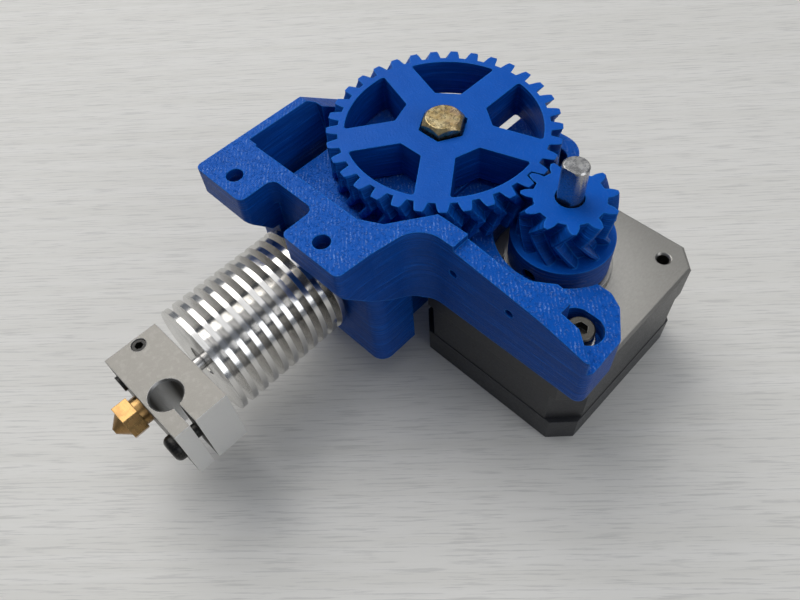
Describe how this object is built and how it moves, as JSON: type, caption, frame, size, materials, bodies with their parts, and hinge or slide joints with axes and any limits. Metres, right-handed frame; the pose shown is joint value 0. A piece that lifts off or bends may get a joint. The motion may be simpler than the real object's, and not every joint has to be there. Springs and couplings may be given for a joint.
{
  "type": "geared filament extruder",
  "caption": "Printed geared filament extruder: stepper motor with pinion drives a large spoked herringbone gear above the hob, spring-loaded idler and a finned hot end.",
  "frame": {"origin": "motor shaft axis where it meets the motor's back face", "axes": "+Z along the motor shaft, away from the motor's back; -X from the motor towards the large gear; -Y along the hot end, towards its nozzle"},
  "size_m": [0.0856, 0.1115, 0.0543],
  "materials": {
    "blue_print": "satin, printed layer lines",
    "yellow_zinc": "yellow zinc plate",
    "bright_steel": "bright",
    "black_steel": "black oxide",
    "machined_aluminium": "machined",
    "black_laminations": "satin black",
    "black_paint": "satin black",
    "white_plastic": "matte",
    "turned_aluminium": "bright turned",
    "milled_aluminium": "bead blasted",
    "brass": "turned"
  },
  "bodies": {
    "frame": {"main_body": "blue_print", "bearing_outer_rings": "bright_steel", "hinge_screw": "black_steel", "tension_screw": "black_steel", "tension_nut": "bright_steel", "tension_washer": "bright_steel", "idler_spring": "bright_steel", "motor_front_cap": "machined_aluminium", "motor_stator": "black_laminations", "motor_rear_cap": "black_paint", "case_screws": "bright_steel", "motor_bearings": "bright_steel", "motor_socket": "white_plastic", "socket_pins": "bright_steel", "mount_screws": "black_steel", "mount_washers": "bright_steel", "heatsink": "turned_aluminium", "heat_break": "bright_steel", "heat_block": "milled_aluminium", "nozzle": "brass", "clamp_screw": "black_steel", "sensor_screw": "black_steel", "retainer_screw": "black_steel", "lock_screws": "black_steel"},
    "drive": {"big_gear": "blue_print", "drive_bolt": "yellow_zinc", "drive_gear": "bright_steel", "drive_grub": "black_steel", "bearing_inner_rings": "bright_steel", "axle_washers": "bright_steel", "lock_nut": "bright_steel"},
    "motor_spindle": {"pinion": "blue_print", "pinion_nut": "bright_steel", "pinion_grub": "black_steel", "motor_shaft": "bright_steel", "motor_rotor": "bright_steel"},
    "idler": {"idler_arm": "blue_print", "idler_axle": "bright_steel"},
    "idler_roller": {"idler_bearing": "bright_steel"}
  },
  "joints": [
    {"name": "drive_spin", "type": "hinge", "parent": "frame", "child": "drive", "pos_m": [-0.031, -0.0005, 0.0232], "axis": [0, 0, 1], "continuous": true},
    {"name": "motor_spin", "type": "hinge", "parent": "frame", "child": "motor_spindle", "pos_m": [0, 0, 0.0232], "axis": [0, 0, 1], "continuous": true},
    {"name": "idler_hinge", "type": "hinge", "parent": "frame", "child": "idler", "pos_m": [-0.045, 0.007, 0.0232], "axis": [0, 0, 1], "range_deg": [-8, 0], "stiffness_Nm_per_rad": 0.35, "springref_deg": 6.88, "deforming": ["idler_spring"]},
    {"name": "idler_spin", "type": "hinge", "parent": "idler", "child": "idler_roller", "pos_m": [-0.0433, -0.0005, 0.0232], "axis": [0, 0, 1], "continuous": true}
  ],
  "couplings": [
    {"joint": "motor_spin", "follows": "drive_spin", "ratio": -3},
    {"joint": "idler_spin", "follows": "drive_spin", "ratio": -1.34}
  ]
}
